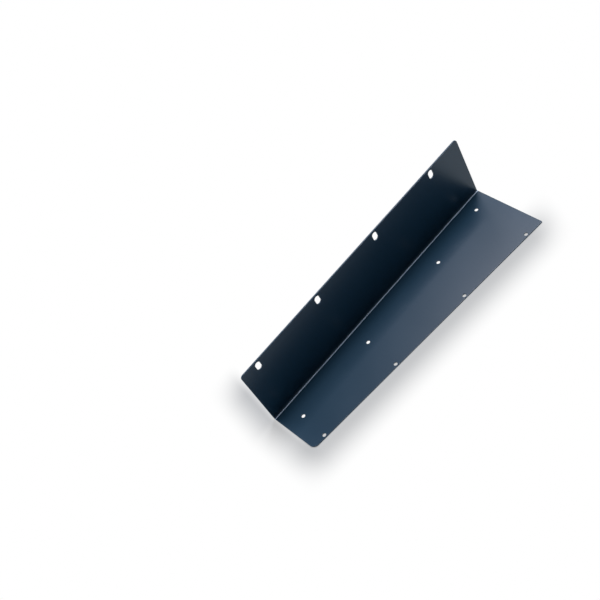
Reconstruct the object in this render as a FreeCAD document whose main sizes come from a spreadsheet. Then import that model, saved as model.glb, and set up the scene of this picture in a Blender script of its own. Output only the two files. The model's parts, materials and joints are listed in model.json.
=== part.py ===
import FreeCAD, Part
import math
import os
import Sketcher

# Rack mount ear bracket, folded from one sheet of steel.
# The rack flange stands up and carries a row of slots for the rack's screws.
# The side flange lies flat, tapers towards the near end, and is screwed to the side of the equipment.
# Frame: X runs along the side flange away from the fold, Y along the fold, Z up the rack flange.
# The origin is under the middle of the bounding box, on the side flange's outer face.

doc = FreeCAD.newDocument("ear_bracket")

# Driving dimensions in millimetres, each written once

dimensions = doc.addObject("Spreadsheet::Sheet", "Dimensions")

DRIVING = [
    ("sheet_thickness", 1.5, "steel sheet, paint included"),
    ("inner_bend_radius", 1.0, "inside of the fold"),
    ("ear_length", 332.6, "along the fold, seven and a half rack units less the end clearances"),
    ("rack_flange_width", 86.7, "from the side flange's outer face to the free edge"),
    ("near_side_width", 62.6, "side flange at the near end, from the rack flange's outer face"),
    ("far_side_width", 91.6, "side flange at the far end, from the rack flange's outer face"),
    ("rack_corner_radius", 4.0, "both free corners of the rack flange"),
    ("near_corner_radius", 7.0, "side flange's free corner at the near end"),
    ("far_corner_radius", 1.0, "side flange's free corner at the far end"),
    ("slot_width", 6.4, "along the fold, clears an M6 rack screw"),
    ("slot_length", 11.4, "across the flange, end to end"),
    ("slot_edge_inset", 8.2, "slot centres to the rack flange's free edge"),
    ("slot_pitch", 88.9, "two rack units"),
    ("first_slot", 21.8, "near end to the first slot's centre"),
    ("slot_end_margin", 12.0, "least distance from the last slot's centre to the far end"),
    ("screw_hole_diameter", 4.2, "clears an M4 screw with a close fit"),
    ("inboard_line", 26.0, "inboard screw holes to the rack flange's outer face"),
    ("far_inboard_line", 18.0, "the same for the far inboard hole, which sits closer in"),
    ("first_inboard_hole", 20.2, "near end to the first inboard hole"),
    ("second_inboard_hole", 122.6, "near end to the second inboard hole"),
    ("third_inboard_hole", 95.1, "far end to the third inboard hole"),
    ("far_hole_inset", 21.2, "far end to the last hole of both rows"),
    ("edge_hole_inset", 3.3, "edge holes to the slanted edge, square to it"),
    ("first_edge_hole", 17.3, "near end to the first edge hole"),
    ("second_edge_hole", 118.9, "near end to the second edge hole"),
    ("third_edge_hole", 113.3, "far end to the third edge hole"),
    ("cut_overrun", 5.0, "how far a cutting outline runs past the sheet"),
]

DERIVED = [
    ("outer_bend_radius", "=inner_bend_radius + sheet_thickness"),
    ("widest_side", "=max(near_side_width; far_side_width)"),
    ("slot_count", "=floor((ear_length - first_slot - slot_end_margin) / slot_pitch) + 1"),
]

for row, (alias, value, note) in enumerate(DRIVING, start=1):
    dimensions.set(f"A{row}", alias)
    dimensions.set(f"B{row}", str(value))
    dimensions.set(f"C{row}", note)
    dimensions.setAlias(f"B{row}", alias)
doc.recompute()
for row, (alias, formula) in enumerate(DERIVED, start=len(DRIVING) + 1):
    dimensions.set(f"A{row}", alias)
    dimensions.set(f"B{row}", formula)
    dimensions.setAlias(f"B{row}", alias)
doc.recompute()


# Helpers for sketches and features

V = FreeCAD.Vector
ORIGIN_POINT = (-1, 1)
START, END, CENTRE = 1, 2, 3
QUARTER_TURN = math.pi / 2


def value_of(alias):
    """The number that a cell of the sheet holds."""
    return float(dimensions.get(alias))


def sketch_on(body, role, name):
    """A sketch attached to one of the body's own origin planes."""
    plane = next(part for part in body.Origin.OriginFeatures if part.Role == role)
    sketch = body.newObject("Sketcher::SketchObject", name)
    sketch.AttachmentSupport = [(plane, "")]
    sketch.MapMode = "FlatFace"
    return sketch


def bind(sketch, name, constraint, expression):
    """Add a dimension to a sketch, name it and tie it to the sheet."""
    index = sketch.addConstraint(constraint)
    sketch.renameConstraint(index, name)
    sketch.setExpression(f"Constraints.{name}", expression)


def place(sketch, name, geometry, point, across, along):
    """Tie a point's distances from the sketch's own origin to two expressions."""
    x, y = sketch.getPoint(geometry, point).x, sketch.getPoint(geometry, point).y
    bind(sketch, f"{name}_x", Sketcher.Constraint("DistanceX", *ORIGIN_POINT, geometry, point, x), across)
    bind(sketch, f"{name}_y", Sketcher.Constraint("DistanceY", *ORIGIN_POINT, geometry, point, y), along)


def join(sketch, first, second):
    """The end of one line or arc meets the start of the next."""
    sketch.addConstraint(Sketcher.Constraint("Coincident", first, END, second, START))


def cut_through(body, profile, name):
    """A pocket through the sheet, both ways from the sketch."""
    pocket = body.newObject("PartDesign::Pocket", name)
    pocket.Profile = profile
    pocket.Type = "ThroughAll"
    pocket.Midplane = True
    profile.Visibility = False
    return pocket


def edges_near(shape, points, reach):
    """Names of the straight edges whose middles lie within reach of the given points."""
    names = []
    for number, edge in enumerate(shape.Edges, start=1):
        middle = edge.valueAt((edge.FirstParameter + edge.LastParameter) / 2)
        if edge.Curve.TypeId == "Part::GeomLine" and min((middle - p).Length for p in points) < reach:
            names.append(f"Edge{number}")
    return names


# Folded section, drawn square to the fold and drawn out to the ear's length


def make_section(body):
    """Both flanges and the bend between them, as one closed outline of constant thickness."""
    sketch = sketch_on(body, "XZ_Plane", "SectionSketch")
    wall = value_of("sheet_thickness")
    outer = value_of("outer_bend_radius")
    inner = value_of("inner_bend_radius")
    wide = value_of("widest_side")
    tall = value_of("rack_flange_width")
    bend_centre = V(outer, outer, 0)

    def arc(radius):
        circle = Part.Circle(bend_centre, V(0, 0, 1), radius)
        return Part.ArcOfCircle(circle, 2 * QUARTER_TURN, 3 * QUARTER_TURN)

    side_outer = sketch.addGeometry(Part.LineSegment(V(outer, 0, 0), V(wide, 0, 0)))
    side_edge = sketch.addGeometry(Part.LineSegment(V(wide, 0, 0), V(wide, wall, 0)))
    side_inner = sketch.addGeometry(Part.LineSegment(V(wide, wall, 0), V(outer, wall, 0)))
    bend_inner = sketch.addGeometry(arc(inner))
    rack_inner = sketch.addGeometry(Part.LineSegment(V(wall, outer, 0), V(wall, tall, 0)))
    rack_edge = sketch.addGeometry(Part.LineSegment(V(wall, tall, 0), V(0, tall, 0)))
    rack_outer = sketch.addGeometry(Part.LineSegment(V(0, tall, 0), V(0, outer, 0)))
    bend_outer = sketch.addGeometry(arc(outer))

    join(sketch, side_outer, side_edge)
    join(sketch, side_edge, side_inner)
    join(sketch, rack_inner, rack_edge)
    join(sketch, rack_edge, rack_outer)
    for arc_index, side_line, side_end, rack_line, rack_end in (
        (bend_inner, side_inner, END, rack_inner, START),
        (bend_outer, side_outer, START, rack_outer, END),
    ):
        sketch.addConstraint(Sketcher.Constraint("Tangent", arc_index, START, rack_line, rack_end))
        sketch.addConstraint(Sketcher.Constraint("Tangent", arc_index, END, side_line, side_end))
    for line in (side_outer, side_inner, rack_edge):
        sketch.addConstraint(Sketcher.Constraint("Horizontal", line))
    for line in (side_edge, rack_inner, rack_outer):
        sketch.addConstraint(Sketcher.Constraint("Vertical", line))
    sketch.addConstraint(Sketcher.Constraint("Coincident", bend_inner, CENTRE, bend_outer, CENTRE))
    sketch.addConstraint(Sketcher.Constraint("PointOnObject", side_outer, END, -1))
    sketch.addConstraint(Sketcher.Constraint("PointOnObject", rack_outer, START, -2))
    bind(sketch, "thickness", Sketcher.Constraint("DistanceY", side_edge, START, side_edge, END, wall),
         "Dimensions.sheet_thickness")
    bind(sketch, "bend", Sketcher.Constraint("Radius", bend_inner, inner), "Dimensions.inner_bend_radius")
    bind(sketch, "side_width", Sketcher.Constraint("DistanceX", *ORIGIN_POINT, side_edge, START, wide),
         "Dimensions.widest_side")
    bind(sketch, "rack_width", Sketcher.Constraint("DistanceY", *ORIGIN_POINT, rack_outer, START, tall),
         "Dimensions.rack_flange_width")

    section = body.newObject("PartDesign::Pad", "FoldedSection")
    section.Profile = sketch
    section.Reversed = True
    section.setExpression("Length", "Dimensions.ear_length")
    sketch.Visibility = False
    return section


# Slanted edge of the side flange


def cut_slanted_edge(body):
    """Take the wedge off the side flange, so that it widens from the near end to the far end."""
    sketch = sketch_on(body, "XY_Plane", "SlantSketch")
    near = value_of("near_side_width")
    far = value_of("far_side_width")
    long = value_of("ear_length")
    past = value_of("cut_overrun")
    lean = (far - near) / long
    outside = value_of("widest_side") + 2 * past
    low = V(near - lean * past, -past, 0)
    high = V(far + lean * past, long + past, 0)

    slant = sketch.addGeometry(Part.LineSegment(low, high))
    far_side = sketch.addGeometry(Part.LineSegment(high, V(outside, long + past, 0)))
    outer_side = sketch.addGeometry(Part.LineSegment(V(outside, long + past, 0), V(outside, -past, 0)))
    near_side = sketch.addGeometry(Part.LineSegment(V(outside, -past, 0), low))
    near_corner = sketch.addGeometry(Part.Point(V(near, 0, 0)), True)
    far_corner = sketch.addGeometry(Part.Point(V(far, long, 0)), True)

    join(sketch, slant, far_side)
    join(sketch, far_side, outer_side)
    join(sketch, outer_side, near_side)
    join(sketch, near_side, slant)
    sketch.addConstraint(Sketcher.Constraint("Horizontal", far_side))
    sketch.addConstraint(Sketcher.Constraint("Vertical", outer_side))
    sketch.addConstraint(Sketcher.Constraint("Horizontal", near_side))
    sketch.addConstraint(Sketcher.Constraint("PointOnObject", near_corner, START, -1))
    sketch.addConstraint(Sketcher.Constraint("PointOnObject", near_corner, START, slant))
    sketch.addConstraint(Sketcher.Constraint("PointOnObject", far_corner, START, slant))
    bind(sketch, "near_width", Sketcher.Constraint("DistanceX", *ORIGIN_POINT, near_corner, START, near),
         "Dimensions.near_side_width")
    place(sketch, "far_corner", far_corner, START, "Dimensions.far_side_width", "Dimensions.ear_length")
    place(sketch, "outside", outer_side, START, "Dimensions.widest_side + 2 * Dimensions.cut_overrun",
          "Dimensions.ear_length + Dimensions.cut_overrun")
    bind(sketch, "start", Sketcher.Constraint("DistanceY", slant, START, *ORIGIN_POINT, past),
         "Dimensions.cut_overrun")
    return cut_through(body, sketch, "SlantedEdge")


# Rounded corners of the blank


def round_corners(body, base, name, corners, radius):
    """Round the corners at the given points, on edges that run through the sheet."""
    fillet = body.newObject("PartDesign::Fillet", name)
    fillet.Base = (base, edges_near(base.Shape, corners, value_of("sheet_thickness")))
    fillet.setExpression("Radius", f"Dimensions.{radius}")
    return fillet


# Slots of the rack flange


def cut_slots(body):
    """One slot with round ends, repeated along the fold at the rack's own pitch."""
    sketch = sketch_on(body, "YZ_Plane", "SlotSketch")
    along = value_of("first_slot")
    height = value_of("rack_flange_width") - value_of("slot_edge_inset")
    radius = value_of("slot_width") / 2
    straight = value_of("slot_length") / 2 - radius
    near, far = along - radius, along + radius
    low, high = height - straight, height + straight
    upper_circle = Part.Circle(V(along, high, 0), V(0, 0, 1), radius)
    lower_circle = Part.Circle(V(along, low, 0), V(0, 0, 1), radius)

    upper_end = sketch.addGeometry(Part.ArcOfCircle(upper_circle, 0, 2 * QUARTER_TURN))
    near_wall = sketch.addGeometry(Part.LineSegment(V(near, high, 0), V(near, low, 0)))
    lower_end = sketch.addGeometry(Part.ArcOfCircle(lower_circle, 2 * QUARTER_TURN, 4 * QUARTER_TURN))
    far_wall = sketch.addGeometry(Part.LineSegment(V(far, low, 0), V(far, high, 0)))
    middle = sketch.addGeometry(Part.Point(V(along, height, 0)), True)

    for arc_index, arc_point, line, line_point in (
        (upper_end, END, near_wall, START),
        (lower_end, START, near_wall, END),
        (lower_end, END, far_wall, START),
        (upper_end, START, far_wall, END),
    ):
        sketch.addConstraint(Sketcher.Constraint("Tangent", arc_index, arc_point, line, line_point))
    sketch.addConstraint(Sketcher.Constraint("Vertical", near_wall))
    sketch.addConstraint(
        Sketcher.Constraint("Symmetric", upper_end, CENTRE, lower_end, CENTRE, middle, START))
    bind(sketch, "width", Sketcher.Constraint("DistanceX", near_wall, START, far_wall, END, 2 * radius),
         "Dimensions.slot_width")
    bind(sketch, "straight",
         Sketcher.Constraint("DistanceY", lower_end, CENTRE, upper_end, CENTRE, 2 * straight),
         "Dimensions.slot_length - Dimensions.slot_width")
    place(sketch, "middle", middle, START, "Dimensions.first_slot",
          "Dimensions.rack_flange_width - Dimensions.slot_edge_inset")

    slot = cut_through(body, sketch, "FirstSlot")
    doc.recompute()
    row = body.newObject("PartDesign::LinearPattern", "SlotRow")
    row.Originals = [slot]
    row.Direction = (next(part for part in body.Origin.OriginFeatures if part.Role == "Y_Axis"), [""])
    row.Mode = "Spacing"
    row.setExpression("Offset", "Dimensions.slot_pitch")
    row.setExpression("Occurrences", "Dimensions.slot_count")
    body.Tip = row
    return row


# Screw holes of the side flange


def cut_inboard_holes(body):
    """Four round holes beside the fold, the far one closer to it than the rest."""
    sketch = sketch_on(body, "XY_Plane", "InboardHoleSketch")
    radius = value_of("screw_hole_diameter") / 2
    holes = (
        ("first", "inboard_line", "Dimensions.first_inboard_hole"),
        ("second", "inboard_line", "Dimensions.second_inboard_hole"),
        ("third", "inboard_line", "Dimensions.ear_length - Dimensions.third_inboard_hole"),
        ("last", "far_inboard_line", "Dimensions.ear_length - Dimensions.far_hole_inset"),
    )
    for count, (name, line, along) in enumerate(holes, start=1):
        start = V(value_of(line), count * value_of("ear_length") / (len(holes) + 1), 0)
        circle = sketch.addGeometry(Part.Circle(start, V(0, 0, 1), radius))
        place(sketch, name, circle, CENTRE, f"Dimensions.{line}", along)
        bind(sketch, f"{name}_size", Sketcher.Constraint("Diameter", circle, 2 * radius),
             "Dimensions.screw_hole_diameter")
    return cut_through(body, sketch, "InboardHoles")


def cut_edge_holes(body):
    """Four round holes on a line that follows the slanted edge."""
    sketch = sketch_on(body, "XY_Plane", "EdgeHoleSketch")
    near = value_of("near_side_width")
    far = value_of("far_side_width")
    long = value_of("ear_length")
    inset = value_of("edge_hole_inset")
    radius = value_of("screw_hole_diameter") / 2

    edge = sketch.addGeometry(Part.LineSegment(V(near, 0, 0), V(far, long, 0)), True)
    hole_line = sketch.addGeometry(Part.LineSegment(V(near - inset, 0, 0), V(far - inset, long, 0)), True)
    place(sketch, "edge_near", edge, START, "Dimensions.near_side_width", "0 mm")
    place(sketch, "edge_far", edge, END, "Dimensions.far_side_width", "Dimensions.ear_length")
    sketch.addConstraint(Sketcher.Constraint("Parallel", edge, hole_line))
    sketch.addConstraint(Sketcher.Constraint("PointOnObject", hole_line, START, -1))
    bind(sketch, "line_end", Sketcher.Constraint("DistanceY", *ORIGIN_POINT, hole_line, END, long),
         "Dimensions.ear_length")
    bind(sketch, "inset", Sketcher.Constraint("Distance", hole_line, START, edge, inset),
         "Dimensions.edge_hole_inset")

    holes = (
        ("first", "Dimensions.first_edge_hole"),
        ("second", "Dimensions.second_edge_hole"),
        ("third", "Dimensions.ear_length - Dimensions.third_edge_hole"),
        ("last", "Dimensions.ear_length - Dimensions.far_hole_inset"),
    )
    for count, (name, along) in enumerate(holes, start=1):
        share = count / (len(holes) + 1)
        start = V(near + share * (far - near) - inset, share * long, 0)
        circle = sketch.addGeometry(Part.Circle(start, V(0, 0, 1), radius))
        sketch.addConstraint(Sketcher.Constraint("PointOnObject", circle, CENTRE, hole_line))
        bind(sketch, f"{name}_along",
             Sketcher.Constraint("DistanceY", *ORIGIN_POINT, circle, CENTRE, share * long), along)
        bind(sketch, f"{name}_size", Sketcher.Constraint("Diameter", circle, 2 * radius),
             "Dimensions.screw_hole_diameter")
    return cut_through(body, sketch, "EdgeHoles")


# The bracket, built in the order in which it is made


def make_bracket():
    """Folded section, slanted edge, rounded corners, then the slots and holes."""
    body = doc.addObject("PartDesign::Body", "EarBracket")
    body.Label = "ear_bracket"
    make_section(body)
    doc.recompute()
    slanted = cut_slanted_edge(body)
    doc.recompute()

    half_wall = value_of("sheet_thickness") / 2
    long = value_of("ear_length")
    rack_corners = [V(half_wall, 0, value_of("rack_flange_width")),
                    V(half_wall, long, value_of("rack_flange_width"))]
    rack_round = round_corners(body, slanted, "RackCorners", rack_corners, "rack_corner_radius")
    doc.recompute()
    near_corner = [V(value_of("near_side_width"), 0, half_wall)]
    near_round = round_corners(body, rack_round, "NearCorner", near_corner, "near_corner_radius")
    doc.recompute()
    far_corner = [V(value_of("far_side_width"), long, half_wall)]
    round_corners(body, near_round, "FarCorner", far_corner, "far_corner_radius")
    doc.recompute()

    cut_slots(body)
    doc.recompute()
    cut_inboard_holes(body)
    doc.recompute()
    cut_edge_holes(body)
    doc.recompute()

    body.setExpression("Placement.Base.x", "-Dimensions.widest_side / 2")
    body.setExpression("Placement.Base.y", "-Dimensions.ear_length / 2")
    doc.recompute()
    return body


# Checks and files


def check(bodies):
    """Stop if any object failed, or any body is empty or not valid."""
    for item in doc.Objects:
        if "Invalid" in item.State or "Error" in item.State:
            raise RuntimeError(f"{item.Name} failed: {item.State}")
    for body in bodies:
        if body.Shape.isNull() or not body.Shape.isValid():
            raise RuntimeError(f"{body.Label} has no valid shape")


bracket = make_bracket()
check([bracket])

os.makedirs("parts", exist_ok=True)
bracket.Shape.exportStep(os.path.join("parts", bracket.Label + ".step"))

box = bracket.Shape.BoundBox
print(f"{bracket.Label}: {len(bracket.Shape.Solids)} solid, {bracket.Shape.Volume:.1f} mm3")
for axis in "XYZ":
    low, high = getattr(box, f"{axis}Min"), getattr(box, f"{axis}Max")
    print(f"{axis} {low:.2f} to {high:.2f}")
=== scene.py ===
# %% [markdown]
# # A rack mount ear, cut flat and folded once
#
# A rack ear is one piece of sheet steel. A laser or a punch cuts the flat blank with all its slots and
# screw holes, a press folds it once along a straight line, and a powder coat goes over everything. This
# notebook follows the same order: outline, holes, thickness, fold, paint, and then a small studio.
#
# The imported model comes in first. It is the frame that everything else is measured against, and its box
# is kept, so that the finished picture piece can be compared with it at the end.

# %% Load the frame
import json
import math

import bmesh
import bpy
from mathutils import Matrix, Vector


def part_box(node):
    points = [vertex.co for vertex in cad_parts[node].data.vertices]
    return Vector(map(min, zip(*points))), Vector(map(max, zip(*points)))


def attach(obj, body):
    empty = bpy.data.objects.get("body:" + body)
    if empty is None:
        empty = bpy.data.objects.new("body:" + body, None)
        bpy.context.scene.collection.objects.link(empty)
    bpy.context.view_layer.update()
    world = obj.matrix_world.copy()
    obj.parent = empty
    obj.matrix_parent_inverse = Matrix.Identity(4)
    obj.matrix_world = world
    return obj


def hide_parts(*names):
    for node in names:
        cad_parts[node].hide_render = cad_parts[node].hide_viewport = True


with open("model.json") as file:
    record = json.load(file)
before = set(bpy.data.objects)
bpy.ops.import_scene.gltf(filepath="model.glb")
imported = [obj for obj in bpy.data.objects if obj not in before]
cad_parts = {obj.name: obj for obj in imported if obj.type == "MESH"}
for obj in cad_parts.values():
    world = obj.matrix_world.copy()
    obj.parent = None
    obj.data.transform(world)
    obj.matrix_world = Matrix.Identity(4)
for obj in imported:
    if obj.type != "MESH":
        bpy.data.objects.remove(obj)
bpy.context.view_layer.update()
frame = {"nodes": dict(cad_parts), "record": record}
MM = 0.001

print("frame nodes:", sorted(frame["nodes"]))

# %% [markdown]
# ## Sizes, taken from the frame
#
# The record that comes with the frame says where the ear is fastened: four oblong slots for the rack's
# own screws, and eight round holes in four pairs. Their places and sizes are read from there, so a
# change in the frame moves them here too. Only what the record has no name for is written down as a
# number: the sheet, the radius of the fold, the width of the tapering flange at its narrow end, and the
# rounding of the corners.

# %% Sizes of the sheet
NODE = "ear_bracket"
LOW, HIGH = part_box(NODE)

SHEET_THICKNESS = 1.5 * MM
INNER_BEND_RADIUS = 1.0 * MM
OUTER_BEND_RADIUS = INNER_BEND_RADIUS + SHEET_THICKNESS
EAR_LENGTH = HIGH.y - LOW.y
RACK_FLANGE_WIDTH = HIGH.z - LOW.z
NEAR_SIDE_WIDTH = 62.6 * MM
FAR_SIDE_WIDTH = -2 * LOW.x
RACK_CORNER_RADIUS = 4.0 * MM
NEAR_CORNER_RADIUS = 7.0 * MM
FAR_CORNER_RADIUS = 1.0 * MM

print(f"ear {EAR_LENGTH / MM:.1f} mm long, rack flange {RACK_FLANGE_WIDTH / MM:.1f} mm wide")
print(f"side flange {NEAR_SIDE_WIDTH / MM:.1f} mm wide at the near end")
print(f"side flange {FAR_SIDE_WIDTH / MM:.1f} mm wide at the far end")

# %% [markdown]
# A flat blank has no X, Y and Z of its own yet, so each flange gets the simplest coordinates it can
# have: how far a point is *out* from the fold, and how far it is *along* the fold from the near end. A
# slot sits on the rack flange, where *out* is measured up from the fold, and a screw hole on the side
# flange, where it is measured away from it.

# %% Slots and screw holes from the record's mounts
mounts = {mount["name"]: mount for mount in frame["record"]["mounts"]}


def on_rack_flange(point):
    """Out from the fold and along it, for a point of the rack flange."""
    return point.z - LOW.z - OUTER_BEND_RADIUS, point.y - LOW.y


def on_side_flange(point):
    """Out from the fold and along it, for a point of the side flange."""
    return point.x - LOW.x - OUTER_BEND_RADIUS, point.y - LOW.y


rack_slots = [mounts[name] for name in sorted(mounts) if name.startswith("rack_slot")]
slot_places = [on_rack_flange(Vector(slot["pos_m"])) for slot in rack_slots]
SLOT_COUNT = len(slot_places)
SLOT_OUT, FIRST_SLOT = slot_places[0]
SLOT_PITCH = (slot_places[-1][1] - FIRST_SLOT) / (SLOT_COUNT - 1)
SLOT_WIDTH = 2 * rack_slots[0]["dims"]["hole_r_mm"] * MM
SLOT_LENGTH = rack_slots[0]["dims"]["slot_length_mm"] * MM

print(f"{SLOT_COUNT} slots of {SLOT_WIDTH / MM:.1f} by {SLOT_LENGTH / MM:.1f} mm")
print(f"they stand {SLOT_PITCH / MM:.1f} mm apart")

# %% [markdown]
# The holes are named in pairs, each pair by the middle between its holes and their distance. Two of the
# pairs lie along the slanted edge, one lies along the fold, and the fourth starts on that same line and
# ends closer to the fold.

# %% Screw holes, two at a time
SCREW_HOLE_RADIUS = mounts["near_inboard_holes"]["dims"]["hole_r_mm"] * MM
along_fold = Vector((0, 1, 0))
along_slant = Vector((FAR_SIDE_WIDTH - NEAR_SIDE_WIDTH, EAR_LENGTH, 0)).normalized()


def pair(name, direction):
    """Both hole centres of a named pair that lies in the given direction."""
    middle = Vector(mounts[name]["pos_m"])
    half_gap = mounts[name]["dims"]["pcd_mm"] * MM / 2
    return [middle - direction * half_gap, middle + direction * half_gap]


def leaning(name, first_x):
    """The direction of a pair whose first hole has the given X."""
    run = mounts[name]["pos_m"][0] - first_x
    half_gap = mounts[name]["dims"]["pcd_mm"] * MM / 2
    return Vector((run, math.sqrt(half_gap**2 - run**2), 0)) / half_gap


near_inboard = pair("near_inboard_holes", along_fold)
far_inboard = pair("far_inboard_holes", leaning("far_inboard_holes", near_inboard[0].x))
near_edge = pair("near_edge_holes", along_slant)
far_edge = pair("far_edge_holes", along_slant)
hole_places = [on_side_flange(hole) for hole in near_inboard + far_inboard + near_edge + far_edge]

for out, along in hole_places:
    print(f"screw hole {out / MM:6.2f} mm out from the fold, {along / MM:6.2f} mm along it")

# %% [markdown]
# ## How a node tree is written here
#
# Geometry Nodes suit this piece, because its shape is a rule: a flat outline with openings, drawn
# through a thickness and then bent by one formula. A script builds the same tree that could be wired by
# hand. A few small helpers keep it readable. The first two open a node group with named inputs and close
# it again.

# %% Helpers: open and close a node group
FLOAT, INT, GEOMETRY = "NodeSocketFloat", "NodeSocketInt", "NodeSocketGeometry"
MATERIAL = "NodeSocketMaterial"


def open_group(name, inputs):
    """A geometry node group with named inputs and one geometry output, and the inputs by name."""
    tree = bpy.data.node_groups.new(name, "GeometryNodeTree")
    for title, kind in inputs.items():
        tree.interface.new_socket(title, in_out="INPUT", socket_type=kind)
    tree.interface.new_socket("Result", in_out="OUTPUT", socket_type=GEOMETRY)
    return tree, tree.nodes.new("NodeGroupInput").outputs


def close_group(tree, result):
    """Connect the group's output and print what it holds."""
    tree.links.new(result, tree.nodes.new("NodeGroupOutput").inputs["Result"])
    print(f"group {tree.name!r} has {len(tree.nodes)} nodes")


print("a node group can be opened and closed")

# %% [markdown]
# In a tree, an input either takes another node's output or holds a plain value. The next helpers don't
# care which: what is an output gets connected, and what is a value gets written into the input. So a
# node and all that feeds it fit into one call, and arithmetic and vectors get a short name each.

# %% Helpers: add a node and feed it
def feed(tree, socket, value):
    """Connect an input where the value is another node's output, and set it otherwise."""
    if isinstance(value, bpy.types.NodeSocket):
        tree.links.new(value, socket)
    else:
        socket.default_value = value


def add(tree, kind, inputs, **settings):
    """Add a node, set it up, feed its inputs and return its first output."""
    node = tree.nodes.new(kind)
    for name, value in settings.items():
        setattr(node, name, value)
    for name, value in inputs.items():
        feed(tree, node.inputs[name], value)
    return node.outputs[0]


def calc(tree, operation, *values):
    """One step of arithmetic."""
    return add(tree, "ShaderNodeMath", dict(enumerate(values)), operation=operation)


def vector(tree, x=0.0, y=0.0, z=0.0):
    """A vector from three numbers or sockets."""
    return add(tree, "ShaderNodeCombineXYZ", {"X": x, "Y": y, "Z": z})


print("nodes can be added and fed")

# %% [markdown]
# An outline that is drawn point by point comes up twice, as the rim's little profile and as the edge of
# a flange. Both start as a row of points, which are then sent to their places by their number. The radii
# of a flange's corners are looked up by the same number.

# %% Helpers: values by number, and a line through given points
def by_number(tree, data_type, values):
    """For each point of a curve, the value that has the point's own number."""
    node = tree.nodes.new("GeometryNodeIndexSwitch")
    node.data_type = data_type
    while len(node.index_switch_items) < len(values):
        node.index_switch_items.new()
    feed(tree, node.inputs["Index"], add(tree, "GeometryNodeInputIndex", {}))
    for number, value in enumerate(values):
        feed(tree, node.inputs[str(number)], value)
    return node.outputs[0]


def line_through(tree, points):
    """An open curve with straight runs through vectors, given as sockets."""
    places = by_number(tree, "VECTOR", points)
    row = add(tree, "GeometryNodeMeshLine", {"Count": len(points)})
    curve = add(tree, "GeometryNodeMeshToCurve", {"Mesh": row})
    return add(tree, "GeometryNodeSetPosition", {"Geometry": curve, "Position": places})


print("values by number and a line through points are ready")

# %% [markdown]
# ## The rim of a cut
#
# A cut edge of sheet steel isn't sharp once it is deburred and coated. It has a small, even rounding,
# and that rounding catches the light along every outline. A Bevel modifier could make it, but a bevel
# slides along the faces beside it and gets uneven round a hole. So the rim is swept instead: a little
# profile, in over one face, round the edge and back over the other, runs along each outline.
#
# A sweep lays the profile's X to the right of the way it travels and its Y downwards. So the steel
# always lies to the right of a curve here: an outline runs clockwise, and a hole runs anticlockwise.

# %% Group: the rim, swept along a curve
ROUNDING_STEPS = 4

rim, given = open_group(
    "Rim of the sheet",
    {"Curve": GEOMETRY, "Sheet Thickness": FLOAT, "Edge Rounding": FLOAT, "Rim Width": FLOAT},
)
other_face = calc(rim, "MULTIPLY", given["Sheet Thickness"], -1.0)
profile_line = line_through(
    rim,
    [
        vector(rim, x=given["Rim Width"]),
        vector(rim),
        vector(rim, y=other_face),
        vector(rim, x=given["Rim Width"], y=other_face),
    ],
)
profile = add(
    rim,
    "GeometryNodeFilletCurve",
    {"Curve": profile_line, "Radius": given["Edge Rounding"], "Count": ROUNDING_STEPS},
    mode="POLY",
)
level_curve = add(rim, "GeometryNodeSetCurveNormal", {"Curve": given["Curve"]}, mode="Z_UP")
close_group(rim, add(rim, "GeometryNodeCurveToMesh", {"Curve": level_curve, "Profile Curve": profile}))

# %% [markdown]
# ## The faces between the rims
#
# Once the rims stand, the two flat faces are whatever lies inside them. The same curves, pulled in by
# the width of the rim, are filled like a stencil: *Fill Curve* leaves a hole wherever one outline lies
# in another. The filled face is used twice, turned over at the bottom and lifted by the sheet's
# thickness at the top.

# %% Group: both flat faces
def join(tree, *parts):
    """Join several geometries into one."""
    node = tree.nodes.new("GeometryNodeJoinGeometry")
    for part in parts:
        tree.links.new(part, node.inputs[0])
    return node.outputs[0]


faces, given = open_group(
    "Flat faces of the sheet",
    {"Outline": GEOMETRY, "Openings": GEOMETRY, "Sheet Thickness": FLOAT, "Rim Width": FLOAT},
)


def pulled_in(curve):
    """The curve moved to its right, into the steel, by the width of the rim."""
    tangent = add(faces, "GeometryNodeInputTangent", {})
    right = add(faces, "ShaderNodeVectorMath", {0: tangent, 1: (0, 0, 1)}, operation="CROSS_PRODUCT")
    offset = add(faces, "ShaderNodeVectorMath", {0: right, "Scale": given["Rim Width"]}, operation="SCALE")
    return add(faces, "GeometryNodeSetPosition", {"Geometry": curve, "Offset": offset})


closed = add(
    faces, "GeometryNodeSetSplineCyclic", {"Geometry": pulled_in(given["Outline"]), "Cyclic": True}
)
stencil = join(faces, closed, pulled_in(given["Openings"]))
lower = add(faces, "GeometryNodeFillCurve", {"Curve": stencil}, mode="NGONS")
lift = vector(faces, z=given["Sheet Thickness"])
upper = add(faces, "GeometryNodeTransform", {"Geometry": lower, "Translation": lift})
close_group(faces, join(faces, upper, add(faces, "GeometryNodeFlipFaces", {"Mesh": lower})))

# %% [markdown]
# ## One flange
#
# Both flanges are the same thing with other numbers: a strip beside the fold whose free edge may slant,
# with its two free corners rounded and some openings cut in it. The outline starts at the fold's far
# end, goes round the free edge and comes back to the fold's near end. *Fillet Curve* draws both corners
# as true arcs, with a radius that is looked up for each point.

# %% Group: a flange with its openings
CORNER_STEPS = 20

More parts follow.
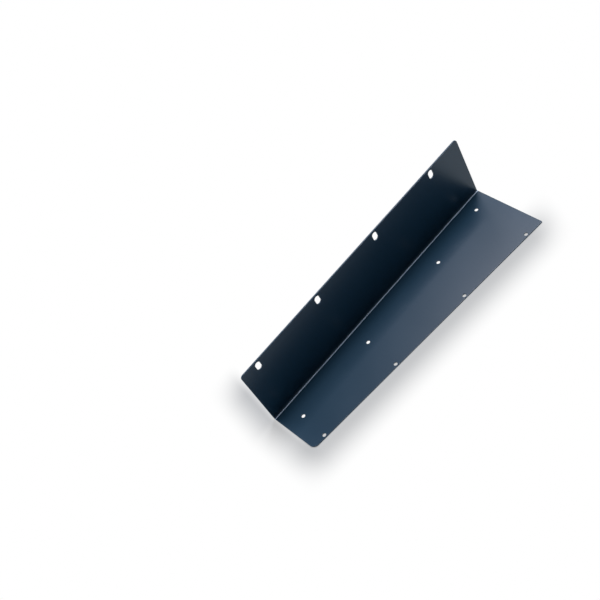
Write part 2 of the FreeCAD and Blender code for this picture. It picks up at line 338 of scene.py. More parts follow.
flange, given = open_group(
    "Flange",
    {
        "Openings": GEOMETRY,
        "Near Width": FLOAT,
        "Far Width": FLOAT,
        "Ear Length": FLOAT,
        "Near Corner Radius": FLOAT,
        "Far Corner Radius": FLOAT,
        "Sheet Thickness": FLOAT,
        "Edge Rounding": FLOAT,
        "Rim Width": FLOAT,
    },
)
sharp_outline = line_through(
    flange,
    [
        vector(flange, y=given["Ear Length"]),
        vector(flange, x=given["Far Width"], y=given["Ear Length"]),
        vector(flange, x=given["Near Width"]),
        vector(flange),
    ],
)
radii = by_number(flange, "FLOAT", [0.0, given["Far Corner Radius"], given["Near Corner Radius"]])
outline = add(
    flange,
    "GeometryNodeFilletCurve",
    {"Curve": sharp_outline, "Radius": radii, "Count": CORNER_STEPS},
    mode="POLY",
)
sheet_sizes = {name: given[name] for name in ("Sheet Thickness", "Rim Width")}
flange_rims = add(
    flange,
    "GeometryNodeGroup",
    {
        "Curve": join(flange, outline, given["Openings"]),
        "Edge Rounding": given["Edge Rounding"],
        **sheet_sizes,
    },
    node_tree=rim,
)
flange_faces = add(
    flange,
    "GeometryNodeGroup",
    {"Outline": outline, "Openings": given["Openings"], **sheet_sizes},
    node_tree=faces,
)
close_group(flange, join(flange, flange_rims, flange_faces))

# %% [markdown]
# ## The strip that will be bent
#
# Between the flanges lies the strip that becomes the fold. It has to be divided into narrow bands, or it
# couldn't follow an arc, and those bands run the whole length of the ear. Its two ends get the same rim
# as every other cut.
#
# The strip's length is the *bend allowance*, which a sheet metal worker looks up in a table. Steel
# stretches on the outside of a bend and is pressed together on the inside, and a line a little inside
# the middle keeps its length. That line's arc is how much flat sheet the fold uses up.

# %% Group: the strip of the fold
bend_strip, given = open_group(
    "Strip of the fold",
    {
        "Bend Allowance": FLOAT,
        "Ear Length": FLOAT,
        "Bands": INT,
        "Sheet Thickness": FLOAT,
        "Edge Rounding": FLOAT,
        "Rim Width": FLOAT,
    },
)
far_side = calc(bend_strip, "MULTIPLY", given["Bend Allowance"], -1.0)
points_across = calc(bend_strip, "ADD", given["Bands"], 1.0)
near_end = add(
    bend_strip,
    "GeometryNodeCurvePrimitiveLine",
    {"Start": (0, 0, 0), "End": vector(bend_strip, x=far_side)},
)
far_end = add(
    bend_strip,
    "GeometryNodeCurvePrimitiveLine",
    {
        "Start": vector(bend_strip, x=far_side, y=given["Ear Length"]),
        "End": vector(bend_strip, y=given["Ear Length"]),
    },
)
ends = add(
    bend_strip,
    "GeometryNodeResampleCurve",
    {"Curve": join(bend_strip, near_end, far_end), "Count": points_across},
)
rim_sizes = {name: given[name] for name in ("Sheet Thickness", "Edge Rounding", "Rim Width")}
end_rims = add(
    bend_strip,
    "GeometryNodeGroup",
    {"Curve": ends, **rim_sizes},
    node_tree=rim,
)
between_rims = calc(bend_strip, "MULTIPLY_ADD", given["Rim Width"], -2.0, given["Ear Length"])
bands = add(
    bend_strip,
    "GeometryNodeMeshGrid",
    {
        "Size X": given["Bend Allowance"],
        "Size Y": between_rims,
        "Vertices X": points_across,
        "Vertices Y": 2,
    },
)
band_middle_x = calc(bend_strip, "MULTIPLY", far_side, 0.5)
band_middle_y = calc(bend_strip, "MULTIPLY", given["Ear Length"], 0.5)
lower_bands = add(
    bend_strip,
    "GeometryNodeTransform",
    {"Geometry": bands, "Translation": vector(bend_strip, x=band_middle_x, y=band_middle_y)},
)
upper_bands = add(
    bend_strip,
    "GeometryNodeTransform",
    {"Geometry": lower_bands, "Translation": vector(bend_strip, z=given["Sheet Thickness"])},
)
turned_bands = add(bend_strip, "GeometryNodeFlipFaces", {"Mesh": lower_bands})
close_group(bend_strip, join(bend_strip, end_rims, upper_bands, turned_bands))

# %% [markdown]
# ## The fold
#
# Bending is one formula for every point of the blank. Take a point *out* from the fold by `x`, at the
# height `h` in the sheet's thickness:
#
# - how far it lies into the strip, as a share of the bend allowance, is how far round the quarter turn
#   it goes;
# - it goes round at the outer bend radius less `h`, so the lower face gets the large radius;
# - whatever lies past the strip, on either side, goes on straight from there.
#
# Clamping the share between 0 and 1 covers all three stretches, so there is no case to tell apart.

# %% Group: fold the blank
QUARTER_TURN = math.pi / 2


def split(tree, value):
    """The outputs X, Y and Z of a vector."""
    node = tree.nodes.new("ShaderNodeSeparateXYZ")
    feed(tree, node.inputs[0], value)
    return node.outputs


fold, given = open_group(
    "Fold",
    {"Blank": GEOMETRY, "Bend Allowance": FLOAT, "Outer Bend Radius": FLOAT},
)
place = split(fold, add(fold, "GeometryNodeInputPosition", {}))
into_strip = calc(fold, "MULTIPLY", place["X"], -1.0)
share = add(
    fold,
    "ShaderNodeClamp",
    {"Value": calc(fold, "DIVIDE", into_strip, given["Bend Allowance"]), "Min": 0.0, "Max": 1.0},
)
turn = calc(fold, "MULTIPLY", share, QUARTER_TURN)
radius = calc(fold, "SUBTRACT", given["Outer Bend Radius"], place["Z"])
past_side = calc(fold, "MAXIMUM", place["X"], 0.0)
past_rack = calc(fold, "MAXIMUM", calc(fold, "SUBTRACT", into_strip, given["Bend Allowance"]), 0.0)
drop_x = calc(fold, "MULTIPLY", radius, calc(fold, "SINE", turn))
drop_z = calc(fold, "MULTIPLY", radius, calc(fold, "COSINE", turn))
folded_place = vector(
    fold,
    x=calc(fold, "ADD", calc(fold, "SUBTRACT", given["Outer Bend Radius"], drop_x), past_side),
    y=place["Y"],
    z=calc(fold, "ADD", calc(fold, "SUBTRACT", given["Outer Bend Radius"], drop_z), past_rack),
)
bent = add(fold, "GeometryNodeSetPosition", {"Geometry": given["Blank"], "Position": folded_place})
close_group(fold, bent)

# %% [markdown]
# ## The whole ear
#
# The main group cuts the blank and folds it. The geometry that it starts from holds nothing but the
# screw holes' centres, and every size comes in as a named input, so that the whole ear can be changed
# from the modifier's panel.

# %% The main group and its inputs
ear_inputs = {
    "Hole Centres": GEOMETRY,
    "Sheet Thickness": FLOAT,
    "Outer Bend Radius": FLOAT,
    "Bend Allowance": FLOAT,
    "Bands": INT,
    "Ear Length": FLOAT,
    "Rack Flange Width": FLOAT,
    "Near Side Width": FLOAT,
    "Far Side Width": FLOAT,
    "Rack Corner Radius": FLOAT,
    "Near Corner Radius": FLOAT,
    "Far Corner Radius": FLOAT,
    "Slot Count": INT,
    "Slot Out": FLOAT,
    "First Slot": FLOAT,
    "Slot Pitch": FLOAT,
    "Slot Width": FLOAT,
    "Slot Length": FLOAT,
    "Screw Hole Radius": FLOAT,
    "Edge Rounding": FLOAT,
    "Rim Width": FLOAT,
    "Paint": MATERIAL,
}
ear_tree, given = open_group("Folded ear", ear_inputs)
print(f"the main group takes {len(ear_inputs)} inputs")

# %% [markdown]
# One slot is drawn and repeated along a line of points, at the rack's own pitch. It is a circle whose
# two halves are pushed apart, which is exactly what an oblong slot is. The screw holes have no rule to
# their places, so they are instances on points too, but on the points of the mesh that the modifier sits
# on.

# %% Slots and screw holes, drawn on the flat blank
SLOT_STEPS = 48
HOLE_STEPS = 48


def on_points(points, shape):
    """The shape at each point, as real curves."""
    instances = add(ear_tree, "GeometryNodeInstanceOnPoints", {"Points": points, "Instance": shape})
    return add(ear_tree, "GeometryNodeRealizeInstances", {"Geometry": instances})


slot_circle = add(
    ear_tree,
    "GeometryNodeCurvePrimitiveCircle",
    {"Resolution": SLOT_STEPS, "Radius": calc(ear_tree, "MULTIPLY", given["Slot Width"], 0.5)},
)
slot_place = split(ear_tree, add(ear_tree, "GeometryNodeInputPosition", {}))
straight = calc(ear_tree, "SUBTRACT", given["Slot Length"], given["Slot Width"])
half_straight = calc(ear_tree, "MULTIPLY", straight, 0.5)
push = calc(ear_tree, "MULTIPLY", calc(ear_tree, "SIGN", slot_place["X"]), half_straight)
slot_shape = add(
    ear_tree, "GeometryNodeSetPosition", {"Geometry": slot_circle, "Offset": vector(ear_tree, x=push)}
)
slot_points = add(
    ear_tree,
    "GeometryNodeMeshLine",
    {
        "Count": given["Slot Count"],
        "Start Location": vector(ear_tree, x=given["Slot Out"], y=given["First Slot"]),
        "Offset": vector(ear_tree, y=given["Slot Pitch"]),
    },
)
hole_shape = add(
    ear_tree,
    "GeometryNodeCurvePrimitiveCircle",
    {"Resolution": HOLE_STEPS, "Radius": given["Screw Hole Radius"]},
)
slots = on_points(slot_points, slot_shape)
screw_holes = on_points(given["Hole Centres"], hole_shape)
print(f"slots and screw holes are drawn, with {len(ear_tree.nodes)} nodes so far")

# %% [markdown]
# The side flange lies as it will be. The rack flange is cut as a mirror image on the other side of the
# strip. A mirror turns faces inside out, so they are flipped back. The three parts touch along whole
# edges, so merging the doubled points there makes them one blank.

# %% Both flanges and the strip, as one flat blank
MERGE_DISTANCE = 0.002 * MM

common = {name: given[name] for name in ("Ear Length", "Sheet Thickness", "Edge Rounding", "Rim Width")}


def beyond_bend(width):
    """The part of a flange's width that lies past the fold."""
    return calc(ear_tree, "SUBTRACT", given[width], given["Outer Bend Radius"])


side_flange = add(
    ear_tree,
    "GeometryNodeGroup",
    {
        "Openings": screw_holes,
        "Near Width": beyond_bend("Near Side Width"),
        "Far Width": beyond_bend("Far Side Width"),
        "Near Corner Radius": given["Near Corner Radius"],
        "Far Corner Radius": given["Far Corner Radius"],
        **common,
    },
    node_tree=flange,
)
rack_flange = add(
    ear_tree,
    "GeometryNodeGroup",
    {
        "Openings": slots,
        "Near Width": beyond_bend("Rack Flange Width"),
        "Far Width": beyond_bend("Rack Flange Width"),
        "Near Corner Radius": given["Rack Corner Radius"],
        "Far Corner Radius": given["Rack Corner Radius"],
        **common,
    },
    node_tree=flange,
)
across_strip = vector(ear_tree, x=calc(ear_tree, "MULTIPLY", given["Bend Allowance"], -1.0))
mirrored = add(
    ear_tree,
    "GeometryNodeTransform",
    {"Geometry": rack_flange, "Translation": across_strip, "Scale": (-1.0, 1.0, 1.0)},
)
turned_back = add(ear_tree, "GeometryNodeFlipFaces", {"Mesh": mirrored})
strip = add(
    ear_tree,
    "GeometryNodeGroup",
    {"Bend Allowance": given["Bend Allowance"], "Bands": given["Bands"], **common},
    node_tree=bend_strip,
)
blank = add(
    ear_tree,
    "GeometryNodeMergeByDistance",
    {"Geometry": join(ear_tree, side_flange, strip, turned_back), "Distance": MERGE_DISTANCE},
)
print(f"the flat blank is whole, with {len(ear_tree.nodes)} nodes so far")

# %% [markdown]
# The fold comes last, as it does at the press. The folded ear then moves to where the frame has it, with
# its middle over the origin. *Realize Instances* and *Set Material* end the tree, because an export
# drops what is still an instance.

# %% Group: fold the blank and finish the ear
folded = add(
    ear_tree,
    "GeometryNodeGroup",
    {"Blank": blank, **{name: given[name] for name in ("Bend Allowance", "Outer Bend Radius")}},
    node_tree=fold,
)
to_frame_x = calc(ear_tree, "MULTIPLY", given["Far Side Width"], -0.5)
to_frame_y = calc(ear_tree, "MULTIPLY", given["Ear Length"], -0.5)
in_frame = add(
    ear_tree,
    "GeometryNodeTransform",
    {"Geometry": folded, "Translation": vector(ear_tree, x=to_frame_x, y=to_frame_y)},
)
real = add(ear_tree, "GeometryNodeRealizeInstances", {"Geometry": in_frame})
painted = add(ear_tree, "GeometryNodeSetMaterial", {"Geometry": real, "Material": given["Paint"]})
close_group(ear_tree, painted)

# %% [markdown]
# ## Powder coat
#
# The finish is a satin powder coat, a very dark blue that is almost black. It is sprayed on as dry
# powder and melted in an oven, and three things tell it from wet paint: it flows into a faint *orange
# peel* with waves a millimetre or so long, it keeps a finer grain from the powder itself, and its gloss
# varies a little over a large face, in soft clouds. So there are three noises.
#
# They read Object coordinates. The finished piece sits at the origin unscaled, so these are metres, and
# a noise of scale 650 has about 650 waves to the metre. The dark paint is seen mostly by what it
# reflects, and *Specular Tint* keeps a touch of the paint's hue in that reflection, strongest where it
# is seen straight on.

# %% Material: satin blue-black powder coat
POWDER_COAT_IOR = 1.43
GLOSS_TINT = (0.96, 0.93, 1.0, 1.0)
ORANGE_PEEL_PER_METRE = 650.0
GRAIN_PER_METRE = 3200.0
CLOUDS_PER_METRE = 18.0

paint = bpy.data.materials.new("Satin blue-black powder coat")
paint.use_nodes = True
coat = paint.node_tree
shader = coat.nodes["Principled BSDF"]
shader.inputs["IOR"].default_value = POWDER_COAT_IOR
shader.inputs["Specular Tint"].default_value = GLOSS_TINT
place = coat.nodes.new("ShaderNodeTexCoord").outputs["Object"]


def noise(scale, detail, roughness=0.5):
    """Noise over the object's own metres, from 0 to 1."""
    inputs = {"Vector": place, "Scale": scale, "Detail": detail, "Roughness": roughness}
    return add(coat, "ShaderNodeTexNoise", inputs)


clouds = noise(CLOUDS_PER_METRE, detail=3.0)
peel = noise(ORANGE_PEEL_PER_METRE, detail=1.0)
grain = noise(GRAIN_PER_METRE, detail=2.0, roughness=0.6)
print(f"material {paint.name!r} has its three noises")

# %% [markdown]
# The colour hardly varies: two very dark blues lie close together, and the clouds blend them.
#
# A fine pale line runs along the inside of the fold from end to end. It is a painted highlight: a light
# blue in the base colour, where the inside of the bend would catch the light. That strip has two borders
# in X, measured from where the bend ends, and two in Z, measured from the side flange's inner face.

# %% Colour, and the painted highlight in the fold
PAINT_DARK = (0.0047, 0.0234, 0.0464, 1.0)
PAINT_LIGHT = (0.0055, 0.0266, 0.0528, 1.0)
# The painted highlight's colour, and where its strip lies along the inside of the fold.
FOLD_HIGHLIGHT = (0.43, 0.54, 0.71, 1.0)
FOLD_HIGHLIGHT_SIDES = (-0.52 * MM, 0.54 * MM)
FOLD_HIGHLIGHT_HEIGHTS = (-0.30 * MM, 0.30 * MM)
FOLD_HIGHLIGHT_FADE = 0.15 * MM


def past(value, border):
    """Nought below the border and one above it, with a short step between."""
    inputs = {"Value": value, "From Min": border - FOLD_HIGHLIGHT_FADE, "From Max": border + FOLD_HIGHLIGHT_FADE}
    return add(coat, "ShaderNodeMapRange", inputs)


def within(value, low, high):
    """One between two borders and nought outside them."""
    return calc(coat, "SUBTRACT", past(value, low), past(value, high))


def blend(factor, start, end):
    """One colour where the factor is nought and another where it is one."""
    node = coat.nodes.new("ShaderNodeMix")
    node.data_type = "RGBA"
    feed(coat, node.inputs["Factor"], factor)
    feed(coat, node.inputs["A"], start)
    feed(coat, node.inputs["B"], end)
    return node.outputs["Result"]


spot = split(coat, place)
highlit_out = within(spot["X"], *[LOW.x + OUTER_BEND_RADIUS + side for side in FOLD_HIGHLIGHT_SIDES])
highlit_up = within(spot["Z"], *[SHEET_THICKNESS + side for side in FOLD_HIGHLIGHT_HEIGHTS])
# The painted highlight: a pale strip in the base colour along the inside of the fold.
highlit = calc(coat, "MULTIPLY", highlit_out, highlit_up)
feed(coat, shader.inputs["Base Color"], blend(highlit, blend(clouds, PAINT_DARK, PAINT_LIGHT), FOLD_HIGHLIGHT))
print(f"the thin coat is {(FOLD_HIGHLIGHT_SIDES[1] - FOLD_HIGHLIGHT_SIDES[0]) / MM:.2f} mm wide")

# %% [markdown]
# Orange peel and grain are relief, and they are only a few thousandths of a millimetre deep. Each gets a
# *Bump* whose distance is that real depth, and the grain's lies on top of the peel's. The clouds and the
# grain also vary the roughness a little. That reads as powder more than the relief does, because a satin
# face blurs what it reflects.

# %% Gloss and relief
ORANGE_PEEL_HEIGHT = 0.004 * MM
GRAIN_HEIGHT = 0.0012 * MM
CLOUD_ROUGHNESS = (0.28, 0.32)
GRAIN_ROUGHNESS = (-0.02, 0.02)


def spread(factor, low, high):
    """The factor's range of 0 to 1, spread from low to high."""
    return add(coat, "ShaderNodeMapRange", {"Value": factor, "To Min": low, "To Max": high})


def bump(height, distance, under=None):
    """Relief of the given depth in metres, on top of another one."""
    node = coat.nodes.new("ShaderNodeBump")
    node.inputs["Distance"].default_value = distance
    feed(coat, node.inputs["Height"], height)
    if under is not None:
        feed(coat, node.inputs["Normal"], under)
    return node.outputs[0]


gloss = calc(coat, "ADD", spread(clouds, *CLOUD_ROUGHNESS), spread(grain, *GRAIN_ROUGHNESS))
feed(coat, shader.inputs["Roughness"], gloss)
relief = bump(grain, GRAIN_HEIGHT, under=bump(peel, ORANGE_PEEL_HEIGHT))
feed(coat, shader.inputs["Normal"], relief)
print(f"material {paint.name!r} has {len(coat.nodes)} nodes")

# %% [markdown]
# ## From tree to mesh
#
# The sizes meet the tree's inputs by their names. The bend allowance uses a line 0.44 of the way through
# the sheet, a usual figure for steel that is bent over a radius near its own thickness. It also gives
# the size of the flat blank, which a maker would want to know first.

# %% The sizes of this ear
NEUTRAL_LINE = 0.44
BEND_ALLOWANCE = QUARTER_TURN * (INNER_BEND_RADIUS + NEUTRAL_LINE * SHEET_THICKNESS)
BANDS = 16
EDGE_ROUNDING = 0.2 * MM
RIM_WIDTH = 0.3 * MM

sizes = {
    "Sheet Thickness": SHEET_THICKNESS,
    "Outer Bend Radius": OUTER_BEND_RADIUS,
    "Bend Allowance": BEND_ALLOWANCE,
    "Bands": BANDS,
    "Ear Length": EAR_LENGTH,
    "Rack Flange Width": RACK_FLANGE_WIDTH,
    "Near Side Width": NEAR_SIDE_WIDTH,
    "Far Side Width": FAR_SIDE_WIDTH,
    "Rack Corner Radius": RACK_CORNER_RADIUS,
    "Near Corner Radius": NEAR_CORNER_RADIUS,
    "Far Corner Radius": FAR_CORNER_RADIUS,
    "Slot Count": SLOT_COUNT,
    "Slot Out": SLOT_OUT,
    "First Slot": FIRST_SLOT,
    "Slot Pitch": SLOT_PITCH,
    "Slot Width": SLOT_WIDTH,
    "Slot Length": SLOT_LENGTH,
    "Screw Hole Radius": SCREW_HOLE_RADIUS,
    "Edge Rounding": EDGE_ROUNDING,
    "Rim Width": RIM_WIDTH,
    "Paint": paint,
}
for side_width in (NEAR_SIDE_WIDTH, FAR_SIDE_WIDTH):
    blank_width = side_width + RACK_FLANGE_WIDTH - 2 * OUTER_BEND_RADIUS + BEND_ALLOWANCE
    print(f"a side flange of {side_width / MM:.1f} mm makes a blank {blank_width / MM:.1f} mm wide")

# %% [markdown]
# The modifier sits on a mesh that holds nothing but the screw holes' centres. Its inputs are set by each
# socket's identifier before anything is evaluated. Then the result is copied into a plain mesh and the
# modifier goes away, so the mesh holds exactly what is seen. The copy keeps an empty material slot
# of the mesh that it was made from, in front of the paint's, and that slot is taken out.

# %% Make the ear
centres = bpy.data.meshes.new("hole centres")
centres.from_pydata([(out, along, 0) for out, along in hole_places], [], [])
pattern = bpy.data.objects.new("hole centres", centres)
bpy.context.scene.collection.objects.link(pattern)

maker = pattern.modifiers.new("Folded ear", "NODES")
maker.node_group = ear_tree
tree_inputs = [item for item in ear_tree.interface.items_tree if item.in_out == "INPUT"]
identifiers = {item.name: item.identifier for item in tree_inputs}
for name, value in sizes.items():
    maker[identifiers[name]] = value

evaluated = pattern.evaluated_get(bpy.context.evaluated_depsgraph_get())
ear_mesh = bpy.data.meshes.new_from_object(evaluated)
ear_mesh.name = "folded_ear"
ear_mesh.materials.pop(index=0)
pattern.modifiers.remove(maker)
bpy.data.objects.remove(pattern)

ear = bpy.data.objects.new("folded_ear", ear_mesh)
bpy.context.scene.collection.objects.link(ear)
print(f"folded_ear: {len(ear_mesh.vertices)} points, {len(ear_mesh.polygons)} faces")

# %% [markdown]
# A mesh that was put together from strips is worth measuring. It should have no open edge, and its
# volume should agree with the frame's own solid, apart from the little that the rounded rims take off. A
# positive volume also says that every face points outwards.

# %% Measure the mesh against the frame
def measure(mesh):
    """Volume in cubic millimetres, and the number of edges that don't join exactly two faces."""
    copy = bmesh.new()
    copy.from_mesh(mesh)
    bmesh.ops.remove_doubles(copy, verts=copy.verts, dist=MERGE_DISTANCE)
    volume = copy.calc_volume(signed=True) / MM**3
    open_edges = sum(not edge.is_manifold for edge in copy.edges)
    copy.free()
    return volume, open_edges


for title, mesh in (("frame", frame["nodes"][NODE].data), ("ear", ear_mesh)):
    volume, open_edges = measure(mesh)
    print(f"{title}: {volume:.0f} cubic mm, {open_edges} open edges")

# %% [markdown]
# Smooth shading alone would drag the curve of each rim across the large flat faces. *Weighted Normal*
# gives the large faces the last word: they stay flat to their borders, and only the rims and the fold
# shade round.

# %% Shading, and the place in the frame
LARGE_FACE_WEIGHT = 100

ear_mesh.shade_smooth()
weighted = ear.modifiers.new("Weighted Normal", "WEIGHTED_NORMAL")
weighted.mode = "FACE_AREA"
weighted.weight = LARGE_FACE_WEIGHT

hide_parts(NODE)
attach(ear, "root")
print("the ear stands for the frame's node", NODE)

# %% [markdown]
# ## The studio
#
# The photograph looks down on the ear with the far end of the fold pointing to the upper right, and the
# camera is tilted about its own axis to get it there. So the camera is described the way a photographer
# would: from which side, how high, how tilted, and how far away.

# %% Camera
AZIMUTH = math.radians(72.42)
ELEVATION = math.radians(48.80)
TILT = math.radians(34.50)
CAMERA_PLACE = Vector((0.6584, -0.2937, 0.9414))
FOCAL_LENGTH = 68.44
SENSOR_WIDTH = 36.0

backward = Vector(
    (
        math.sin(AZIMUTH) * math.cos(ELEVATION),
        -math.cos(AZIMUTH) * math.cos(ELEVATION),
        math.sin(ELEVATION),
    )
)
level = Vector((math.cos(AZIMUTH), math.sin(AZIMUTH), 0))
upright = backward.cross(level)
right = level * math.cos(TILT) + upright * -math.sin(TILT)
up = backward.cross(right)

camera_data = bpy.data.cameras.new("camera")
camera_data.lens = FOCAL_LENGTH
camera_data.sensor_width = SENSOR_WIDTH
camera = bpy.data.objects.new("camera", camera_data)
bpy.context.scene.collection.objects.link(camera)
camera_axes = Matrix((right, up, backward)).transposed().to_4x4()
camera.matrix_world = Matrix.Translation(CAMERA_PLACE) @ camera_axes
bpy.context.scene.camera = camera
print(f"camera {CAMERA_PLACE.length:.2f} m from the ear, {math.degrees(ELEVATION):.1f} degrees up")

# %% [markdown]
# ## Paper
#
# A sheet of white paper lies under the ear and rises into a wall some metres off, all round, so that
# every view ends in paper. White paper in a photograph is brighter than its own shadow and no brighter
# than white, and one material does both. For a *camera ray* part of it is plain white of strength 1, and
# the rest is real paper, seen as grey, that keeps the ear's real shadow and adds a painted shadow round
# the ear. Glossy and transmission rays see plain light of strength 1 all over, so the paint reflects a
# bright room. That light is a little cooler than white, as paper looks in the light of a clear day.

# %% Backdrop
FLOOR_GAP = 0.05 * MM
SWEEP_SEGMENTS = 64
SWEEP_PROFILE = [(2.0, 0.0), (6.4, 0.0), (7.6, 0.4), (8.0, 1.6), (8.0, 4.8)]

sweep_points = [(0.0, 0.0, -FLOOR_GAP)]
sweep_faces = []
for distance, height in SWEEP_PROFILE:
    for step in range(SWEEP_SEGMENTS):
        turned = math.tau * step / SWEEP_SEGMENTS
        x, y = distance * math.cos(turned), distance * math.sin(turned)
        sweep_points.append((x, y, height - FLOOR_GAP))
for step in range(SWEEP_SEGMENTS):
    after = (step + 1) % SWEEP_SEGMENTS
    sweep_faces.append((0, 1 + step, 1 + after))
    for ring in range(len(SWEEP_PROFILE) - 1):
        inner = 1 + ring * SWEEP_SEGMENTS
        outer = inner + SWEEP_SEGMENTS
        sweep_faces.append((inner + step, outer + step, outer + after, inner + after))
floor_mesh = bpy.data.meshes.new("floor")
floor_mesh.from_pydata(sweep_points, [], sweep_faces)
floor = bpy.data.objects.new("floor", floor_mesh)
bpy.context.scene.collection.objects.link(floor)
print(f"backdrop: {len(sweep_faces)} faces")

# %% [markdown]
# The paper itself is matt, without any gloss. How large its plain part is depends on the place, so the
# material measures where each point of the floor lies: how far past the slanted edge, how far behind the
# fold, and how far past either end. Each of these is a distance from one straight line.
#
# The near border is bent. It follows the side flange's end, and then turns a little to where the
# standing flange's end is seen against the floor. The far border leans, because the shadow there draws
# back as it gets further from the fold.

# %% Material: white paper, and distances on the floor
NEAR_BEND = 0.15
FAR_BEND = 0.42

white = bpy.data.materials.new("White paper")
white.use_nodes = True
paper = white.node_tree
paper_shader = paper.nodes["Principled BSDF"]
paper_shader.inputs["Roughness"].default_value = 1.0
paper_shader.inputs["Specular IOR Level"].default_value = 0.0

spot = split(paper, paper.nodes.new("ShaderNodeTexCoord").outputs["Object"])
floor_x, floor_y = spot["X"], spot["Y"]
slope = (FAR_SIDE_WIDTH - NEAR_SIDE_WIDTH) / EAR_LENGTH
edge_middle = LOW.x + (NEAR_SIDE_WIDTH + FAR_SIDE_WIDTH) / 2
past_slant = calc(paper, "SUBTRACT", calc(paper, "MULTIPLY_ADD", floor_y, -slope, floor_x), edge_middle)
behind_fold = calc(paper, "SUBTRACT", LOW.x, floor_x)
past_side_end = calc(paper, "SUBTRACT", LOW.y, floor_y)
past_rack_end = calc(paper, "MULTIPLY_ADD", behind_fold, NEAR_BEND, past_side_end)
past_near_end = calc(paper, "MAXIMUM", past_side_end, past_rack_end)
leaning_y = calc(paper, "MULTIPLY_ADD", past_slant, FAR_BEND, floor_y)
past_far_end = calc(paper, "SUBTRACT", leaning_y, HIGH.y)
print(f"the slanted edge leans {math.degrees(math.atan(slope)):.1f} degrees away from the fold")

# %% [markdown]
# A patch of real paper, seen as grey, follows the ear's shadow: it lies past the slanted edge and round
# both of its ends, and turns plain within five centimetres. It is partly the real shadow and partly
# painted shadow, since the grey darkens the paper by the patch's shape, lit or not. Inside it there is a
# plain heart under the ear, painted white where the paper lies in real shade, which shows as white through
# the holes beside the fold. Every border is a soft step, and a product of such steps is the area that lies
# inside all of them.
#
# In front of the foot of the standing flange its own shadow would be too heavy, so the paper is painted a
# little plainer there. A narrower band of painted shadow runs behind that flange, so that the ear stands
# on the paper from every side.

# %% Where the paper is plain, and where shadow is painted
LEAST_PLAIN = 0.14
PLAIN_AT_FOOT = 0.16
# Where each soft border has its middle, and how far it reaches to either side.
REACH_OF_SLANT = (18.4 * MM, 27.7 * MM)
REACH_OF_NEAR_END = (19.2 * MM, 22.2 * MM)
REACH_OF_FAR_END = (3.9 * MM, 24.5 * MM)
REACH_BEHIND_FOLD = (70.0 * MM, 26.0 * MM)
HEART_FROM_NEAR_END = (-2.0 * MM, 8.0 * MM)
HEART_FROM_SLANT = (-12.0 * MM, 25.0 * MM)
FOOT_IN_X = (14.6 * MM, 30.0 * MM)
FOOT_FROM_FOLD = (0.6 * MM, 5.0 * MM)
BACK_FROM_FOLD = (5.0 * MM, 4.0 * MM)
BACK_BEHIND_FOLD = (36.0 * MM, 24.0 * MM)
BACK_FROM_FAR_END = (-14.0 * MM, 16.0 * MM)
BACK_FROM_NEAR_END = (-8.0 * MM, 8.0 * MM)


def area(*borders):
    """One inside all the borders and nought outside. Each is a distance with its border's two numbers."""
    inside = 1.0
    for distance, (middle, fade) in borders:
        falling = {"From Min": middle - fade, "From Max": middle + fade, "To Min": 1.0, "To Max": 0.0}
        inputs = {"Value": distance, **falling}
        step = add(paper, "ShaderNodeMapRange", inputs, interpolation_type="SMOOTHSTEP")
        inside = calc(paper, "MULTIPLY", step, inside)
    return inside


reach = area(
    (past_slant, REACH_OF_SLANT),
    (past_near_end, REACH_OF_NEAR_END),
    (past_far_end, REACH_OF_FAR_END),
    (behind_fold, REACH_BEHIND_FOLD),
)
heart_painted_white = area((past_near_end, HEART_FROM_NEAR_END), (past_slant, HEART_FROM_SLANT))
foot_painted_lighter = area((floor_x, FOOT_IN_X), (behind_fold, FOOT_FROM_FOLD))
# A band of painted shadow behind the fold, where the paper is really lit.
back = area(
    (calc(paper, "MULTIPLY", behind_fold, -1.0), BACK_FROM_FOLD),
    (behind_fold, BACK_BEHIND_FOLD),
    (calc(paper, "SUBTRACT", floor_y, HIGH.y), BACK_FROM_FAR_END),
    (past_near_end, BACK_FROM_NEAR_END),
)
# The patch is painted shadow round the ear. Its heart is painted white, its foot a little lighter.
round_heart = calc(paper, "MULTIPLY", reach, calc(paper, "SUBTRACT", 1.0, heart_painted_white))
weaker_at_foot = calc(paper, "MULTIPLY_ADD", foot_painted_lighter, -PLAIN_AT_FOOT, 1.0)
painted_shadow_patch = calc(paper, "MAXIMUM", calc(paper, "MULTIPLY", round_heart, weaker_at_foot), back)
plain_share = calc(paper, "MULTIPLY_ADD", painted_shadow_patch, LEAST_PLAIN - 1.0, 1.0)
print(f"the paper is {LEAST_PLAIN:.0%} plain in the ear's shadow and 100% plain far from it")

# %% [markdown]
# *Light Path* tells which kind of ray has met the paper. A camera ray gets the mixture of plain white
# and real paper. The softboxes are so strong that white paper would be far above white in them and would
# lose its shadow, so the camera sees a grey paper, which they bring up to nearly white. The light that
# the paper throws back on the ear comes from a brighter one.

# %% What each kind of ray sees
PAPER_WHITE = 0.6
PAPER_SEEN = 0.24
# A cool tint on the real paper, which shows mostly in the shadow round the ear, real and painted.
PAPER_TINT = (0.97, 1.0, 1.05)
REFLECTED_WHITE = (0.81, 0.94, 1.0)

rays = paper.nodes.new("ShaderNodeLightPath").outputs
seen_grey = calc(paper, "MULTIPLY_ADD", rays["Is Camera Ray"], PAPER_SEEN - PAPER_WHITE, PAPER_WHITE)
tinted = vector(paper, *[calc(paper, "MULTIPLY", seen_grey, channel) for channel in PAPER_TINT])
feed(paper, paper_shader.inputs["Base Color"], tinted)

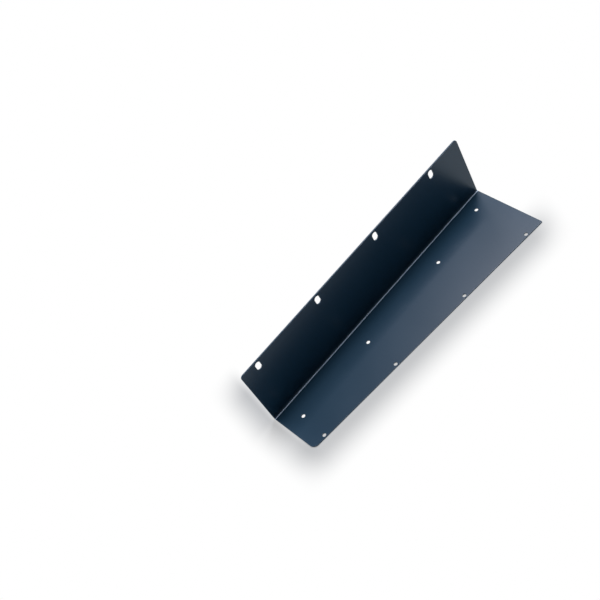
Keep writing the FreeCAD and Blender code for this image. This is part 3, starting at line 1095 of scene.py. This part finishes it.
seen_straight = calc(paper, "MULTIPLY", rays["Is Camera Ray"], plain_share)
seen_otherwise = calc(paper, "MAXIMUM", rays["Is Glossy Ray"], rays["Is Transmission Ray"])
shown_white = [
    calc(paper, "MULTIPLY_ADD", seen_otherwise, channel - 1.0, 1.0) for channel in REFLECTED_WHITE
]
plain_white = add(paper, "ShaderNodeEmission", {"Color": vector(paper, *shown_white), "Strength": 1.0})
both = paper.nodes.new("ShaderNodeMixShader")
feed(paper, both.inputs[0], calc(paper, "MAXIMUM", seen_straight, seen_otherwise))
feed(paper, both.inputs[1], paper_shader.outputs[0])
feed(paper, both.inputs[2], plain_white)
feed(paper, paper.nodes["Material Output"].inputs["Surface"], both.outputs[0])
white.cycles.emission_sampling = "NONE"
floor_mesh.materials.append(white)
print(f"material {white.name!r} has {len(paper.nodes)} nodes")

# %% [markdown]
# ## Light
#
# Three softboxes light the ear, nearly all of their area on the rack flange's outer side. Two hang high
# above and face down: a long strip behind the fold, which reaches only a little past it and lights the
# side flange, and a smaller box further back. The standing flange's inner face gets hardly any light
# from either, so it stays dark and shows what it reflects: the side flange low down, and white paper
# past its far end. The third softbox is long and level. It lights the standing flange's outer face and
# deepens that flange's shadow on the side flange.
#
# A softbox's brightness is its power over its area, so each one is written with its size beside its
# power.

# %% Lights
DOWN = (0, 0, -1)
LEVEL_TO_THE_EAR = (1, 0, 0)
WORLD_STRENGTH = 0.02


def softbox(name, place, size, watts, facing):
    """A rectangular lamp at a place, facing a direction."""
    data = bpy.data.lights.new(name, "AREA")
    data.shape = "RECTANGLE"
    data.size, data.size_y = size
    data.energy = watts
    lamp = bpy.data.objects.new(name, data)
    bpy.context.scene.collection.objects.link(lamp)
    turn = (-Vector(facing)).to_track_quat("Z", "Y")
    lamp.matrix_world = Matrix.Translation(place) @ turn.to_matrix().to_4x4()
    return lamp


softboxes = [
    softbox("overhead strip", place=(-0.135, 0.20, 1.40), size=(0.33, 1.20), watts=22.0, facing=DOWN),
    softbox("high box", place=(-0.45, 0.60, 1.40), size=(0.30, 0.40), watts=15.8, facing=DOWN),
    softbox(
        "long low box", place=(-1.60, 0.00, 1.20), size=(2.40, 0.40), watts=40.0, facing=LEVEL_TO_THE_EAR
    ),
]

world = bpy.data.worlds.new("studio")
world.use_nodes = True
bpy.context.scene.world = world
background = world.node_tree.nodes["Background"]
background.inputs["Color"].default_value = (1, 1, 1, 1)
background.inputs["Strength"].default_value = WORLD_STRENGTH
bpy.context.scene.view_settings.view_transform = "Standard"
print("lamps:", ", ".join(f"{lamp.name} {lamp.data.energy:.1f} W" for lamp in softboxes))
